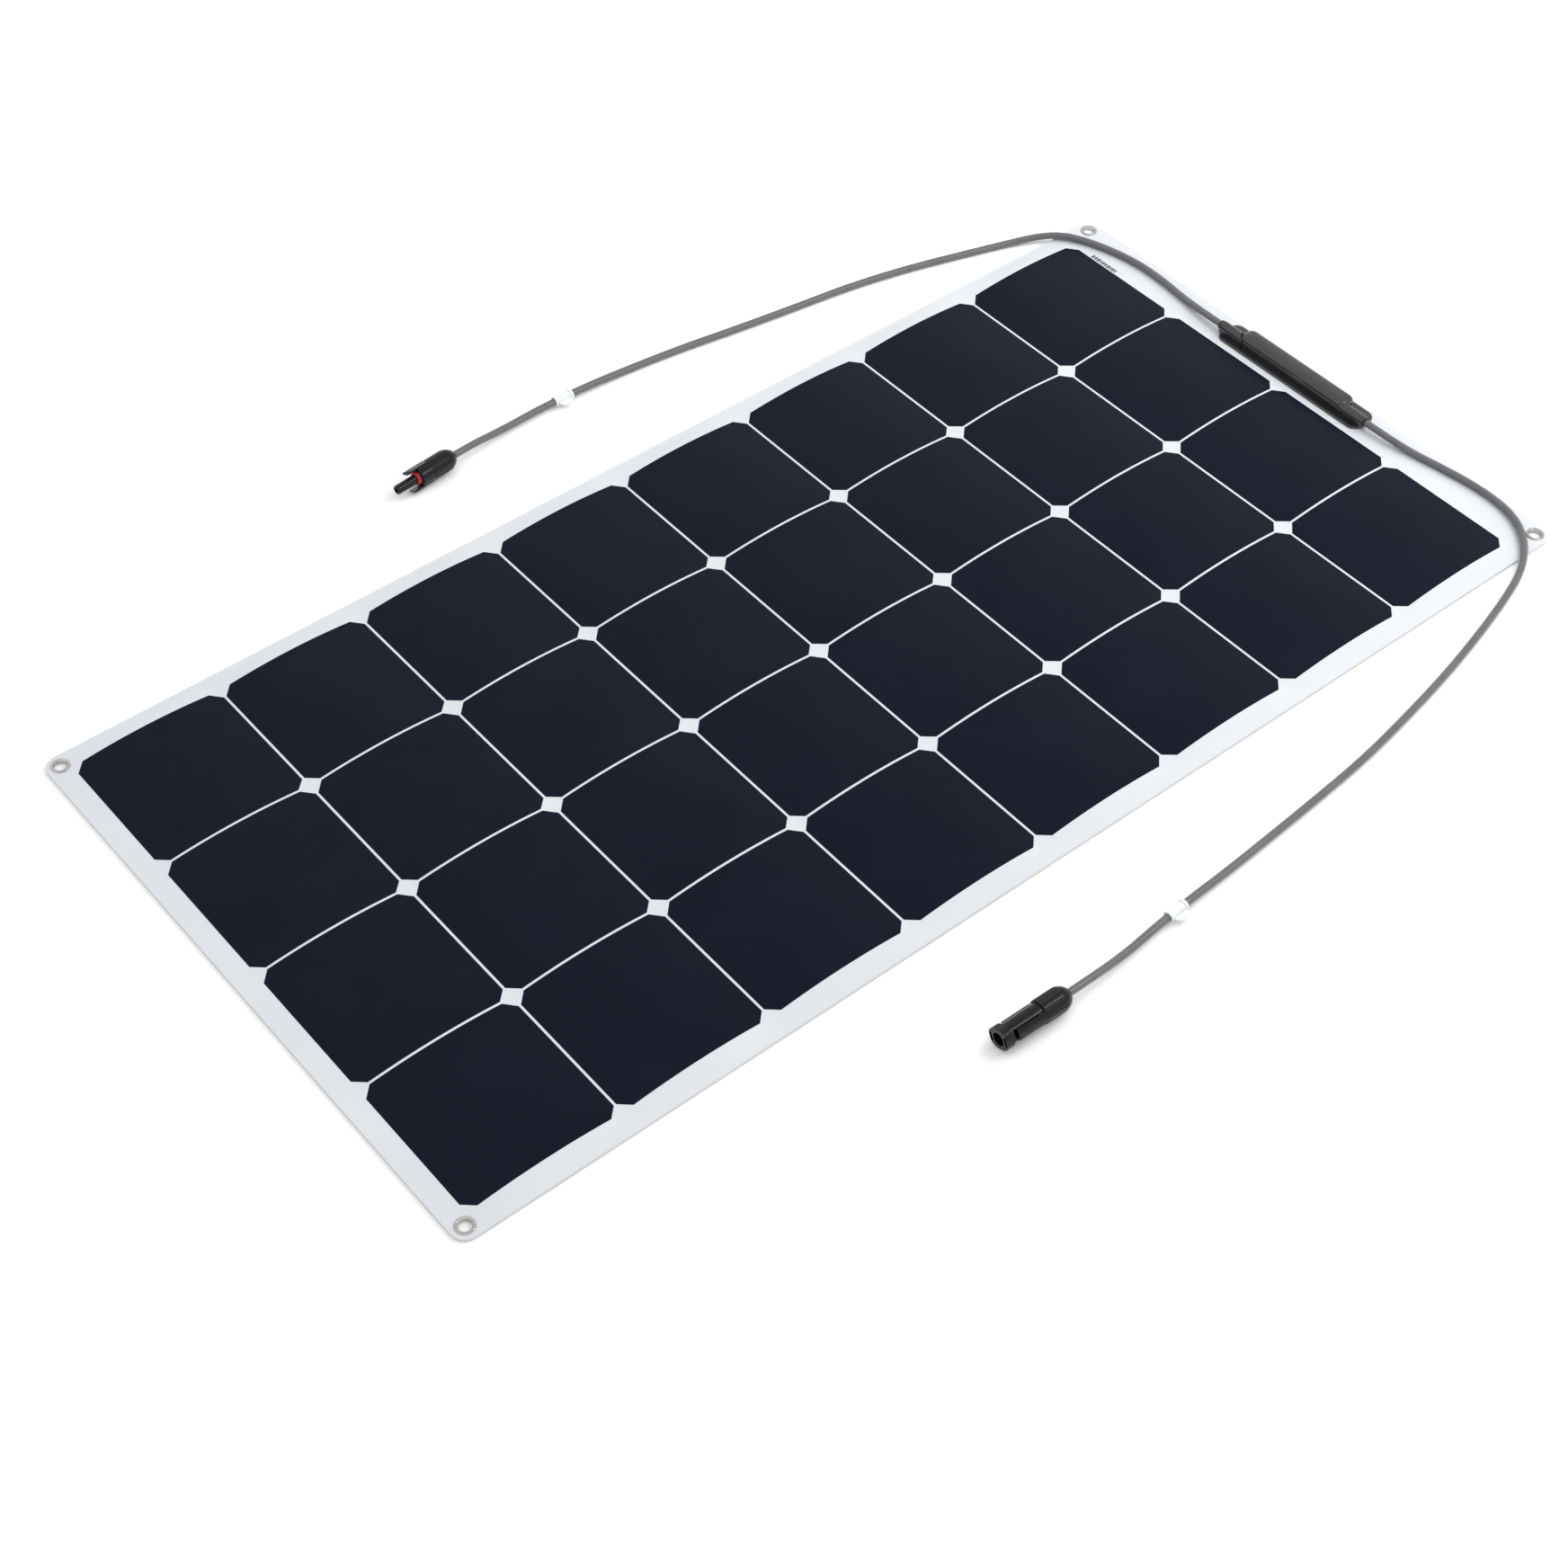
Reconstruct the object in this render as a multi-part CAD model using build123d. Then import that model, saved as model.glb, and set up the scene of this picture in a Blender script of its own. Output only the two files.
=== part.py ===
from build123d import *
import math
import os

# Semi-rigid solar sheet: 32 back-contact cells laminated between plastic layers, a slim
# junction box on one end margin, and two leads that end in single-pole connectors.
# Frame: origin at the bottom centre of the sheet, +X towards the junction box, +Z up. Millimetres.

os.makedirs("parts", exist_ok=True)

# ---------------------------------------------------------------- driving dimensions
CELL = 125.0
CELL_GAP = 2.0
CELL_CORNER = 8.3
COLUMNS = 8
STRINGS = 4
SIDE_MARGIN = 18.0
PLAIN_END_MARGIN = 17.4
BOX_END_MARGIN = 37.6
SHEET_CORNER = 12.0

PITCH = CELL + CELL_GAP
FIELD_LENGTH = COLUMNS * PITCH - CELL_GAP
FIELD_WIDTH = STRINGS * PITCH - CELL_GAP
SHEET_LENGTH = FIELD_LENGTH + PLAIN_END_MARGIN + BOX_END_MARGIN
SHEET_WIDTH = FIELD_WIDTH + 2 * SIDE_MARGIN
FIELD_X0 = -SHEET_LENGTH / 2 + PLAIN_END_MARGIN
FIELD_X1 = FIELD_X0 + FIELD_LENGTH
FIELD_Y0 = -FIELD_WIDTH / 2

# Heights at which the layers of the laminate meet, from the back up.
Z_BACK = 0.0
Z_BOARD = 0.4
Z_REAR = 1.3
Z_CELL = 1.7
Z_CELL_TOP = 1.9
Z_FILM = 2.2
Z_TOP = 2.5

# Eyelets, one in each corner.
EYELET_INSET = 11.0
EYELET_HOLE_R = 5.0
EYELET_BARREL_R = 5.4
EYELET_CREST_R = 6.1
EYELET_RIM_R = 7.5
EYELET_RIM = 0.1
EYELET_SHOULDER = 0.4
EYELET_CREST = 0.9
EYELET_LIP_R = (5.6, 6.4, 7.0)
WASHER_R = 8.0
WASHER_Z = (0.5, 0.9)
WASHER_POCKET_R = WASHER_R + 0.1
FIT_GAP = 0.02

# Copper inside the laminate.
COPPER = 0.2
RIBBON_WIDTH = 3.0
TAB_REACH = 6.0
TAB_WIDTH = 10.0
TAB_SPACING = 44.0
TAB_LENGTH = 104.0
OUTER_RUN = 5.0
MIDDLE_RUN = 1.0
LEG_HALF = 3.0
LEG_RISE = 2.5

# Serial label on the box end margin.
LABEL_INSET = (0.8, 6.0)
LABEL_Y = (194.0, 238.0)
LABEL_THICKNESS = 0.1

# Junction box: flange plate, tray, snouts and lid.
BOX_X = 517.2
FLANGE_WIDTH = 27.4
FLANGE_LENGTH = 162.0
FLANGE_CORNER = 8.0
FLANGE_EDGE = 0.8
GLUE = 0.4
GLUE_INSET = 1.0
FLANGE_Z = 4.5
LID_X = 518.1
LID_WIDTH = 17.4
LID_LENGTH = 121.0
LID_CORNER = 6.0
LID_WALL = 1.2
LID_SHOULDER_Z = 12.3
LID_CROWN_Z = 15.5
LID_END_SLOPE = 12.0
LID_END_RISE = 1.1
LID_NOTCH_HALF = 2.8
LID_NOTCH_DEPTH = 8.0
TRAY_GAP = 0.2
TRAY_RIM_Z = 10.4
GASKET_Z = 10.9
POTTING_Z = 7.6
SNOUT_X = 513.5
SNOUT_Z = 9.0
SNOUT_R = 4.7
SNOUT_BORE_R = 4.0
SNOUT_END = 83.0
SNOUT_TIP_ROUND = 1.5
SNOUT_GAP = 0.15
SNOUT_WRAP = 5.0
NECK_HALF = 2.6
BUSH_R = 4.1
BUSH_LIP = 1.2
TERMINAL_Y = 45.0
TERMINAL_HALF = 5.0
TERMINAL_DEPTH = 5.0
TERMINAL_THICKNESS = 1.0
TERMINAL_STAND = (0.8, 2.6)
EAR = 1.0
EAR_REACH = 1.3
DIODE_OFFSET = 3.2
DIODE_RISE = 2.2
DIODE_R = 2.1
DIODE_LENGTH = 11.0
WIRE_R = 0.6
LEG_X = 515.5
SLOT_CLEARANCE = 0.3

# Leads and their connectors.
LEAD_D = 6.0
LEAD_R = LEAD_D / 2
LEAD_START_Y = 70.0
CONDUCTOR_R = 1.15
ARC_SHARE = 0.45
ON_SHEET = Z_TOP + LEAD_R
ON_FLOOR = LEAD_R
MARKER_R = 4.5
MARKER_BODY_R = 4.0
MARKER_BORE_R = 3.15
MARKER_LENGTH = 17.7
MARKER_END = 2.2
MARKER_TAB = 1.0
MARKER_TAB_SINK = 0.6
MARKER_RUN = 17
IN_MARKER = MARKER_R + 0.1
AXIS_Z = 9.75
PLUG_REAR = (-102.1, 358.2, AXIS_Z)
PLUG_HEADING = 186.4
PLUG_ROLL = 26.0
CUP_REAR = (-95.7, -369.8, AXIS_Z)
CUP_HEADING = 179.3
CUP_ROLL = 25.0
LEAD_END = 16.5

EYELET_SPOTS = [
    (sx * (SHEET_LENGTH / 2 - EYELET_INSET), sy * (SHEET_WIDTH / 2 - EYELET_INSET))
    for sx in (-1, 1) for sy in (-1, 1)
]


# ---------------------------------------------------------------- helpers
def save(node, shapes):
    solids = []
    for shape in shapes:
        solids.extend(shape.solids())
    export_step(Compound(solids), f"parts/{node}.step")


def block(x, y, z):
    size = (x[1] - x[0], y[1] - y[0], z[1] - z[0])
    centre = (sum(x) / 2, sum(y) / 2, sum(z) / 2)
    return Pos(*centre) * Box(*size)


def plate(length, width, corner, z, at=(0.0, 0.0)):
    return Pos(at[0], at[1], z[0]) * extrude(RectangleRounded(length, width, corner), z[1] - z[0])


def post(x, y, radius, z):
    return Pos(x, y, (z[0] + z[1]) / 2) * Cylinder(radius, z[1] - z[0])


def turned(outline):
    """A closed outline of (x, r) points and edges, turned about the X axis."""
    return revolve(make_face(outline), Axis.X)


def tube_x(x, outer, inner=0.0):
    return turned(Polyline((x[0], inner), (x[0], outer), (x[1], outer), (x[1], inner), close=True))


def bowed(start, end, bow):
    """An arc between two points that bows to the left of its way by the given rise."""
    way = (end[0] - start[0], end[1] - start[1])
    reach = bow / math.hypot(*way)
    middle = ((start[0] + end[0]) / 2 - way[1] * reach, (start[1] + end[1]) / 2 + way[0] * reach)
    return ThreePointArc(start, middle, end)


def layer(z, hole_r):
    sheet = plate(SHEET_LENGTH, SHEET_WIDTH, SHEET_CORNER, z)
    for x, y in EYELET_SPOTS:
        sheet -= post(x, y, hole_r, z)
    return sheet


# ---------------------------------------------------------------- laminate
def cell(column, string):
    x = FIELD_X0 + CELL / 2 + column * PITCH
    y = FIELD_Y0 + CELL / 2 + string * PITCH
    square = Rectangle(CELL, CELL)
    outline = chamfer(square.vertices(), CELL_CORNER)
    return Pos(x, y, Z_CELL) * extrude(outline, Z_CELL_TOP - Z_CELL)


def interconnect(column, string):
    """A dog-bone tab behind the gap between a cell and the next one in its string."""
    x = FIELD_X0 + (column + 1) * PITCH - CELL_GAP / 2
    y = FIELD_Y0 + CELL / 2 + string * PITCH
    half = TAB_LENGTH / 2
    z = (Z_CELL - COPPER, Z_CELL)
    tab = block((x - RIBBON_WIDTH / 2, x + RIBBON_WIDTH / 2), (y - half, y + half), z)
    for step in (-1, 0, 1):
        pad_y = y + step * TAB_SPACING
        pad = (pad_y - TAB_WIDTH / 2, pad_y + TAB_WIDTH / 2)
        tab += block((x - TAB_REACH, x + TAB_REACH), pad, z)
    return tab


def plain_end_ribbon(string):
    """Joins one string to the next at the end away from the box."""
    z = (Z_CELL - COPPER, Z_CELL)
    y0 = FIELD_Y0 + string * PITCH + TAB_WIDTH
    y1 = y0 + PITCH + CELL - 2 * TAB_WIDTH
    x = (FIELD_X0 - 2 * RIBBON_WIDTH, FIELD_X0 - RIBBON_WIDTH)
    ribbon = block(x, (y0, y1), z)
    for y in (y0, y1 - TAB_WIDTH):
        ribbon += block((x[0], FIELD_X0 + TAB_REACH), (y, y + TAB_WIDTH), z)
    return ribbon


def box_end_ribbon(y_tabs, y_leg, x_run):
    """Collects from the cell tabs at y_tabs and rises into the box at y_leg."""
    z = (Z_CELL - COPPER, Z_CELL)
    low = min(min(y_tabs), y_leg) - TAB_WIDTH / 2
    high = max(max(y_tabs), y_leg) + TAB_WIDTH / 2
    ribbon = block((x_run, x_run + RIBBON_WIDTH), (low, high), z)
    for y in y_tabs:
        tab = (y - TAB_WIDTH / 2, y + TAB_WIDTH / 2)
        ribbon += block((FIELD_X1 - TAB_REACH, x_run + RIBBON_WIDTH), tab, z)
    leg_y = (y_leg - TAB_WIDTH / 2, y_leg + TAB_WIDTH / 2)
    ribbon += block((x_run, LEG_X + COPPER), leg_y, z)
    rise = (z[0], FLANGE_Z + LEG_RISE)
    ribbon += block((LEG_X, LEG_X + COPPER), (y_leg - LEG_HALF, y_leg + LEG_HALF), rise)
    return ribbon


def leg_slots(z):
    """The slots that let the three ribbon legs rise through the layers under the box."""
    x = (LEG_X - SLOT_CLEARANCE, LEG_X + COPPER + SLOT_CLEARANCE)
    half = LEG_HALF + SLOT_CLEARANCE
    return [block(x, (y - half, y + half), z) for y in (-TERMINAL_Y, 0.0, TERMINAL_Y)]


def make_laminate():
    strings = [[cell(c, s) for c in range(COLUMNS)] for s in range(STRINGS)]
    tabs = [[interconnect(c, s) for c in range(COLUMNS - 1)] for s in range(STRINGS)]
    for s in range(STRINGS):
        save(f"cell_string_{s + 1}", strings[s])
        save(f"cell_interconnects_{s + 1}", tabs[s])

    plain_end = [plain_end_ribbon(0), plain_end_ribbon(2)]
    edge = FIELD_Y0 + TAB_WIDTH
    box_end = [
        box_end_ribbon([edge], -TERMINAL_Y, FIELD_X1 + OUTER_RUN),
        box_end_ribbon([-PITCH / 2, PITCH / 2], 0.0, FIELD_X1 + MIDDLE_RUN),
        box_end_ribbon([-edge], TERMINAL_Y, FIELD_X1 + OUTER_RUN),
    ]
    save("bus_ribbons_plain_end", plain_end)
    save("bus_ribbons_box_end", box_end)

    hole_r = EYELET_BARREL_R + FIT_GAP
    save("back_sheet", [layer((Z_BACK, Z_BOARD), WASHER_POCKET_R)])
    board = layer((Z_BOARD, Z_REAR), hole_r)
    for x, y in EYELET_SPOTS:
        board -= post(x, y, WASHER_POCKET_R, (Z_BOARD, WASHER_Z[1]))
    save("stiffener_board", [board])

    rear = layer((Z_REAR, Z_CELL), hole_r)
    rear -= [tab for row in tabs for tab in row] + plain_end + box_end
    save("rear_encapsulant", [rear])
    front = layer((Z_CELL, Z_FILM), hole_r)
    front -= [piece for row in strings for piece in row] + leg_slots((Z_CELL, Z_FILM))
    save("front_encapsulant", [front])
    film = layer((Z_FILM, Z_TOP), hole_r) - leg_slots((Z_FILM, Z_TOP))
    save("front_film", [film])
    label_x = (FIELD_X1 + LABEL_INSET[0], FIELD_X1 + LABEL_INSET[1])
    save("serial_label", [block(label_x, LABEL_Y, (Z_TOP, Z_TOP + LABEL_THICKNESS))])
    return box_end


# ---------------------------------------------------------------- eyelets
def eyelet(x, y):
    """A rolled eyelet: domed rim on the face, straight barrel, clinched lip at the back."""
    crest = Z_TOP + EYELET_CREST
    hole = EYELET_HOLE_R
    shoulder = Z_TOP + EYELET_SHOULDER
    lip_z = WASHER_Z[0]
    lip = EYELET_LIP_R
    outline = Line((hole, lip_z), (hole, shoulder))
    outline += bowed((hole, shoulder), (EYELET_CREST_R, crest), 0.22)
    outline += bowed((EYELET_CREST_R, crest), (EYELET_RIM_R, Z_TOP + EYELET_RIM), 0.28)
    outline += Polyline(
        (EYELET_RIM_R, Z_TOP + EYELET_RIM), (EYELET_RIM_R, Z_TOP), (EYELET_BARREL_R, Z_TOP),
        (EYELET_BARREL_R, lip_z), (lip[2], lip_z)
    )
    outline += bowed((lip[2], lip_z), (lip[1], Z_BACK), 0.18)
    outline += Line((lip[1], Z_BACK), (lip[0], Z_BACK))
    outline += bowed((lip[0], Z_BACK), (hole, lip_z), 0.16)
    ring = revolve(Plane.XZ * make_face(outline), Axis.Z)
    return Pos(x, y, 0) * ring


def make_eyelets():
    save("eyelets", [eyelet(x, y) for x, y in EYELET_SPOTS])
    washers = []
    for x, y in EYELET_SPOTS:
        ring = post(x, y, WASHER_R, WASHER_Z) - post(x, y, EYELET_BARREL_R + FIT_GAP, WASHER_Z)
        washers.append(ring)
    save("eyelet_washers", washers)


# ---------------------------------------------------------------- junction box
def lid_form(inset, z0):
    """The lid's outer form, or the hollow inside it when inset by the wall."""
    width = LID_WIDTH - 2 * inset
    length = LID_LENGTH - 2 * inset
    shoulder = LID_SHOULDER_Z - inset
    crown = LID_CROWN_Z - inset
    plan = plate(width, length, LID_CORNER - inset, (z0, crown), (LID_X, 0.0))
    half = width / 2
    across = ThreePointArc((LID_X - half, shoulder), (LID_X, crown), (LID_X + half, shoulder))
    across += Polyline(
        (LID_X + half, shoulder), (LID_X + half, z0), (LID_X - half, z0), (LID_X - half, shoulder)
    )
    arch = extrude(Plane.XZ * make_face(across), length / 2, both=True)
    end = length / 2
    flat = end - LID_END_SLOPE
    along = Spline((-end, shoulder), (-flat, crown), tangents=((1, LID_END_RISE), (1, 0)))
    along += Line((-flat, crown), (flat, crown))
    along += Spline((flat, crown), (end, shoulder), tangents=((1, 0), (1, -LID_END_RISE)))
    along += Polyline((end, shoulder), (end, z0), (-end, z0), (-end, shoulder))
    hump = extrude(Plane.YZ * make_face(along), LID_X + width, dir=(1, 0, 0))
    return plan & arch & hump


def snout(sign):
    """A D-shaped cable outlet that hugs the lid's end, with a rounded tip and a neck into the tray."""
    y = (LID_LENGTH / 2 - SNOUT_WRAP, SNOUT_END)
    body = block((SNOUT_X - SNOUT_R, SNOUT_X + SNOUT_R), y, (FLANGE_Z, SNOUT_Z)) + cable_bore(SNOUT_R, y, 1)
    tip = body.faces().sort_by(Axis.Y)[-1].edges()
    body = fillet([e for e in tip if e.center().Z > FLANGE_Z + FIT_GAP], SNOUT_TIP_ROUND)
    lid_room = (LID_WIDTH + 2 * SNOUT_GAP, LID_LENGTH + 2 * SNOUT_GAP, LID_CORNER + SNOUT_GAP)
    body -= plate(*lid_room, (FLANGE_Z, LID_CROWN_Z), (LID_X, 0.0))
    neck_y = (LID_LENGTH / 2 - LID_WALL - TRAY_GAP - LID_WALL, LID_LENGTH / 2 + SNOUT_GAP)
    body += block((SNOUT_X - NECK_HALF, SNOUT_X + NECK_HALF), neck_y, (FLANGE_Z, TRAY_RIM_Z))
    return body if sign > 0 else mirror(body, Plane.XZ)


def cable_bore(radius, y, sign):
    middle = sign * (y[0] + y[1]) / 2
    return Pos(SNOUT_X, middle, SNOUT_Z) * Rot(90, 0, 0) * Cylinder(radius, y[1] - y[0])


def terminal(y, outer):
    """A tinned terminal plate; the outer two have an ear that takes a conductor."""
    x = (LEG_X + COPPER, LEG_X + COPPER + TERMINAL_DEPTH)
    long = (y - TERMINAL_HALF, y + TERMINAL_HALF)
    metal = block(x, long, (FLANGE_Z, FLANGE_Z + TERMINAL_THICKNESS))
    metal += block((x[0], x[0] + TERMINAL_STAND[0]), long, (FLANGE_Z, FLANGE_Z + TERMINAL_STAND[1]))
    if outer:
        side = math.copysign(1.0, y)
        ear_y = sorted((y + side * (TERMINAL_HALF - EAR), y + side * TERMINAL_HALF))
        ear_top = SNOUT_Z + EAR_REACH
        metal += block((SNOUT_X - EAR_REACH, x[1]), ear_y, (POTTING_Z + TRAY_GAP, ear_top))
        metal += block(x, ear_y, (FLANGE_Z, ear_top))
    return metal


def diode(y):
    """An axial bypass diode across the gap between two terminals."""
    x = LEG_X + COPPER + DIODE_OFFSET
    z = FLANGE_Z + DIODE_RISE
    reach = TERMINAL_Y / 2 - TERMINAL_HALF
    lying = Pos(x, y, z) * Rot(90, 0, 0)
    body = lying * Cylinder(DIODE_R, DIODE_LENGTH) + lying * Cylinder(WIRE_R, 2 * reach)
    for end in (-1, 1):
        foot_y = sorted((y + end * reach, y + end * (reach - 2 * WIRE_R)))
        body += block((x - WIRE_R, x + WIRE_R), foot_y, (FLANGE_Z, z))
    return body


def make_box(ribbons):
    flange = plate(FLANGE_WIDTH, FLANGE_LENGTH, FLANGE_CORNER, (Z_TOP + GLUE, FLANGE_Z), (BOX_X, 0.0))
    rim = flange.faces().sort_by(Axis.Z)[-1].edges()
    flange = fillet(rim, FLANGE_EDGE)
    wall = LID_WALL + TRAY_GAP
    tray_z = (FLANGE_Z, TRAY_RIM_Z)
    tray_size = (LID_WIDTH - 2 * wall, LID_LENGTH - 2 * wall)
    tray = plate(*tray_size, LID_CORNER - wall, tray_z, (LID_X, 0.0))
    hollow_size = (tray_size[0] - 2 * LID_WALL, tray_size[1] - 2 * LID_WALL)
    hollow_corner = LID_CORNER - wall - LID_WALL
    tray -= plate(*hollow_size, hollow_corner, tray_z, (LID_X, 0.0))
    base = flange + tray
    for sign in (-1, 1):
        base += snout(sign)
        base -= cable_bore(SNOUT_BORE_R, (LEAD_START_Y, SNOUT_END + 1), sign)
        base -= cable_bore(CONDUCTOR_R + 0.1, (hollow_size[1] / 2 - NECK_HALF, LEAD_START_Y), sign)
    base -= leg_slots((Z_TOP, FLANGE_Z))
    save("junction_base", [base])

    glue_z = (Z_TOP, Z_TOP + GLUE)
    glue_size = (FLANGE_WIDTH - 2 * GLUE_INSET, FLANGE_LENGTH - 2 * GLUE_INSET)
    glue = plate(*glue_size, FLANGE_CORNER - GLUE_INSET, glue_z, (BOX_X, 0.0))
    save("junction_adhesive", [glue - leg_slots(glue_z)])

    lid = lid_form(0.0, FLANGE_Z) - lid_form(LID_WALL, FLANGE_Z)
    for sign in (-1, 1):
        notch_y = sorted((sign * (LID_LENGTH / 2 - LID_NOTCH_DEPTH), sign * (LID_LENGTH / 2 + LID_WALL)))
        notch_x = (SNOUT_X - LID_NOTCH_HALF, SNOUT_X + LID_NOTCH_HALF)
        lid -= block(notch_x, notch_y, (FLANGE_Z, TRAY_RIM_Z + TRAY_GAP))
    save("junction_lid", [lid])

    seat = plate(*tray_size, LID_CORNER - wall, (TRAY_RIM_Z, GASKET_Z), (LID_X, 0.0))
    seat -= plate(*hollow_size, hollow_corner, (TRAY_RIM_Z, GASKET_Z), (LID_X, 0.0))
    save("lid_gasket", [seat])

    terminals = [terminal(-TERMINAL_Y, True), terminal(0.0, False), terminal(TERMINAL_Y, True)]
    diodes = [diode(-TERMINAL_Y / 2), diode(TERMINAL_Y / 2)]
    tail_y = (TERMINAL_Y + TERMINAL_HALF, LEAD_START_Y)
    tails = [cable_bore(CONDUCTOR_R, tail_y, sign) for sign in (-1, 1)]
    save("junction_terminals", terminals)
    save("bypass_diodes", diodes)
    save("conductor_tails", tails)
    potting = plate(*hollow_size, hollow_corner, (FLANGE_Z, POTTING_Z), (LID_X, 0.0))
    potting -= terminals + diodes + ribbons + tails
    save("junction_potting", [potting])

    for name, sign in (("strain_relief_far", 1), ("strain_relief_near", -1)):
        bush = cable_bore(SNOUT_BORE_R - FIT_GAP, (LEAD_START_Y, SNOUT_END), sign)
        bush += cable_bore(BUSH_R, (SNOUT_END, SNOUT_END + BUSH_LIP), sign)
        bush -= cable_bore(LEAD_R + FIT_GAP, (LEAD_START_Y - 1, SNOUT_END + 2), sign)
        save(name, [bush])


# ---------------------------------------------------------------- connector pieces
# Each is built along +X from the rear of its gland nut, then laid in place.
NUT_BORE_R = 3.7
NUT_REAR_R = 4.6
NUT_OGIVE = 10.0
NUT_THREAD_R = 7.15
NUT_EDGE = 0.5
NUT_FLUTES = 10
FLUTE_R = 1.6
FLUTE_OUT = 0.9
FLUTE_START = 7.0
CAGE_X = (4.6, 9.8)
CAGE_R = 6.75
CAGE_BORE_R = 3.3
CAGE_SLOT = 1.2
CAGE_SOLID = 1.6
SEAL_X = (10.1, 16.1)
SPIGOT_X = 10.0
SPIGOT_R = 7.0
SEAL_BORE_R = 6.35
SEAL_BORE_END = 16.2
ENVELOPE_R = 9.5

# Contacts: crimp barrel, stop collar, then the socket or the pin.
CRIMP_R = 2.6
COLLAR_SPAN = (36.0, 38.0)
COLLAR_R = 3.05
CRIMP_BORE_R = 3.1
CRIMP_BORE_END = 38.1
PIN_R = 2.0
PIN_ROUND = 1.2
SOCKET_R = 2.6
SOCKET_BORE_R = 2.7
SOCKET_X = (42.0, 57.4)
SOCKET_CONE = 1.2
STEM_R = 2.5

PLUG_NUT = (26.0, 9.2)
PLUG_BARREL_X = (26.3, 38.0)
PLUG_BARREL_R = 8.8
PLUG_BARREL_EDGE = 0.6
PROBE_R = 4.0
PROBE_TIP = 61.0
PROBE_ROUND = 1.0
PROBE_LIP = 3.4
PROBE_MOUTH_R = 2.4
RING_X = (38.1, 41.2)
RING_R = 5.6
RING_SEAT_R = 3.5
LATCH_X = (27.0, 48.0)
LATCH_WIDTH = 7.0
LATCH_R = (7.2, 8.8)
LATCH_GAP = 0.3
LATCH_SWING = 1.2
LATCH_NOSE = 0.9
BARB_R = 9.7
BARB_BACK = (1.4, 3.5)

CUP_NUT = (27.0, 9.6)
CUP_CORE_X = (27.3, 58.0)
CUP_CORE_R = 8.0
CUP_MOUTH = 64.0
CUP_MOUTH_X = 57.0
CUP_MOUTH_R = 5.3
CUP_BORE_X = 40.7
CUP_BORE_R = 4.2
WING_R = 9.8
WING_HALF = 4.5
WING_X = (27.3, 53.0)
WING_GROOVE_X = 32.0
WING_GROOVE_R = (7.4, 8.6)
COLLAR_X = (57.5, CUP_MOUTH)
COLLAR_HALF = (9.5, 8.2)
COLLAR_CORNER = 7.0
CHANNEL_X = 44.0
CHANNEL_R = (6.6, 8.8)
CHANNEL_HALF = 3.8
PIN_TIP = 56.5
CUT = 1.0


def laid(rear, heading):
    angle = math.radians(heading)
    return Plane(origin=rear, x_dir=(math.cos(angle), math.sin(angle), 0), z_dir=(0, 0, 1)).location


def gland_nut(length, radius):
    """A fluted nut with an ogive rear end, bored for the lead, the clamp cage and the thread."""
    thread_x = CAGE_X[0] - 0.1
    outline = TangentArc((NUT_OGIVE, radius), (0, NUT_REAR_R), tangent=(-1, 0))
    outline += Polyline(
        (0, NUT_REAR_R), (0, NUT_BORE_R), (thread_x, NUT_BORE_R), (thread_x, NUT_THREAD_R),
        (length, NUT_THREAD_R), (length, radius - NUT_EDGE), (length - NUT_EDGE, radius), (NUT_OGIVE, radius)
    )
    nut = turned(outline)
    flute_x = (FLUTE_START, length + CUT)
    flute = Pos(0, 0, radius + FLUTE_OUT) * tube_x(flute_x, FLUTE_R)
    for i in range(NUT_FLUTES):
        nut -= Rot(360 * i / NUT_FLUTES, 0, 0) * flute
    return nut


def clamp_cage():
    """A ring of six fingers that the nut squeezes on the lead."""
    cage = tube_x(CAGE_X, CAGE_R, CAGE_BORE_R)
    slot_x = (CAGE_X[0] + CAGE_SOLID, CAGE_X[1] + CUT)
    slot = block(slot_x, (-CAGE_SLOT / 2, CAGE_SLOT / 2), (-CAGE_R - CUT, CAGE_R + CUT))
    for i in range(3):
        cage -= Rot(60 * i, 0, 0) * slot
    return cage


def cable_seal():
    return tube_x(SEAL_X, SEAL_BORE_R - 0.05, LEAD_R + FIT_GAP)


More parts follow.
